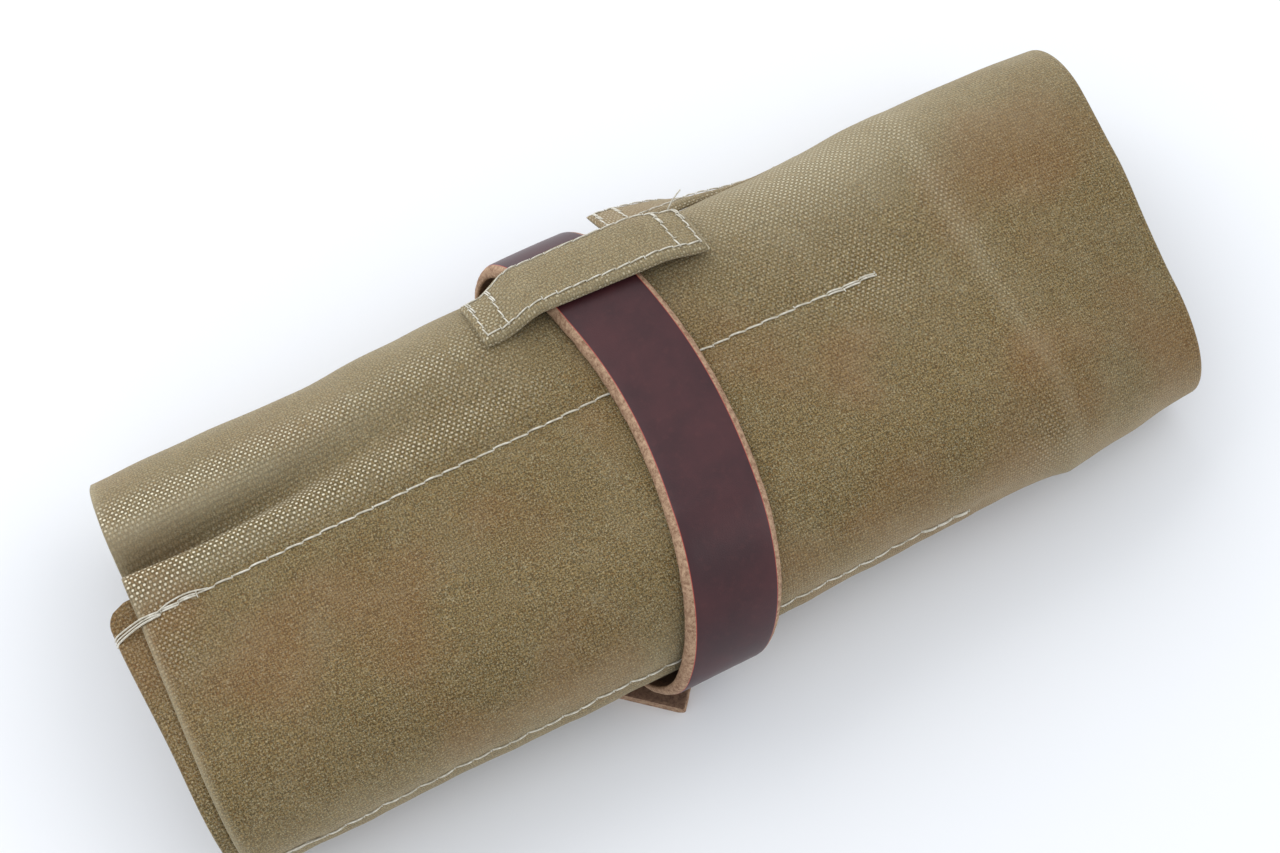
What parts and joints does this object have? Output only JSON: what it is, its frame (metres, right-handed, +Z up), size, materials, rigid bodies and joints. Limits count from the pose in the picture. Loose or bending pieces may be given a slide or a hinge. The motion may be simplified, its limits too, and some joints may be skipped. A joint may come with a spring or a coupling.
{
  "type": "carving tool roll",
  "caption": "Waxed canvas carving tool roll with sewn pockets, rolled up and closed by a leather strap through a canvas keeper.",
  "frame": {"origin": "centre of the base of the rolled-up object's bounding box, on the surface it lies on", "axes": "+X along the roll towards the turned-in flap end, +Y towards the back, where the strap bends down behind the keeper, +Z up"},
  "size_m": [0.2952, 0.1264, 0.0595],
  "materials": {
    "waxed_canvas": "heavy waxed cotton duck, olive tan, with abraded pale weave",
    "strap_leather": "oxblood oiled leather, smooth grain, raw tan edges",
    "seam_thread": "off-white heavy sewing thread"
  },
  "bodies": {
    "roll": {"outer_shell": "waxed_canvas", "pocket_panel": "waxed_canvas", "keeper_top": "waxed_canvas", "keeper_back": "waxed_canvas", "keeper_top_stitches": "seam_thread", "keeper_back_stitches": "seam_thread", "free_edge_stitches": "seam_thread", "core_edge_stitches": "seam_thread", "divider_seam_1": "seam_thread", "divider_seam_2": "seam_thread", "divider_seam_3": "seam_thread", "divider_seam_4": "seam_thread", "divider_seam_5": "seam_thread", "divider_seam_6": "seam_thread", "divider_seam_7": "seam_thread", "divider_seam_8": "seam_thread", "divider_seam_9": "seam_thread"},
    "strap_top": {"strap_top": "strap_leather"},
    "strap_front": {"strap_front": "strap_leather"},
    "strap_back": {"strap_back": "strap_leather"},
    "strap_under": {"strap_under": "strap_leather"},
    "strap_tail": {"strap_tail": "strap_leather"}
  },
  "joints": [
    {"name": "strap_slide", "type": "slide", "parent": "roll", "child": "strap_top", "axis": [1, 0, 0], "range_m": [-0.003, 0.003]},
    {"name": "strap_front_bend", "type": "hinge", "parent": "strap_top", "child": "strap_front", "pos_m": [-0.00268, -0.0271, 0.055], "axis": [0.9884, -0.1521, 0], "range_deg": [-80, 0]},
    {"name": "strap_back_bend", "type": "hinge", "parent": "strap_top", "child": "strap_back", "pos_m": [-0.00904, 0.05719, 0.03721], "axis": [0.9836, 0.0847, -0.1592], "range_deg": [0, 70]},
    {"name": "strap_under_bend", "type": "hinge", "parent": "strap_back", "child": "strap_under", "pos_m": [-0.0123, 0.04918, 0.00248], "axis": [1, 0, 0], "range_deg": [0, 80]},
    {"name": "strap_tail_bend", "type": "hinge", "parent": "strap_under", "child": "strap_tail", "pos_m": [-0.02033, -0.02774, 0.0016], "axis": [0.9432, -0.3321, 0], "range_deg": [0, 80]}
  ]
}
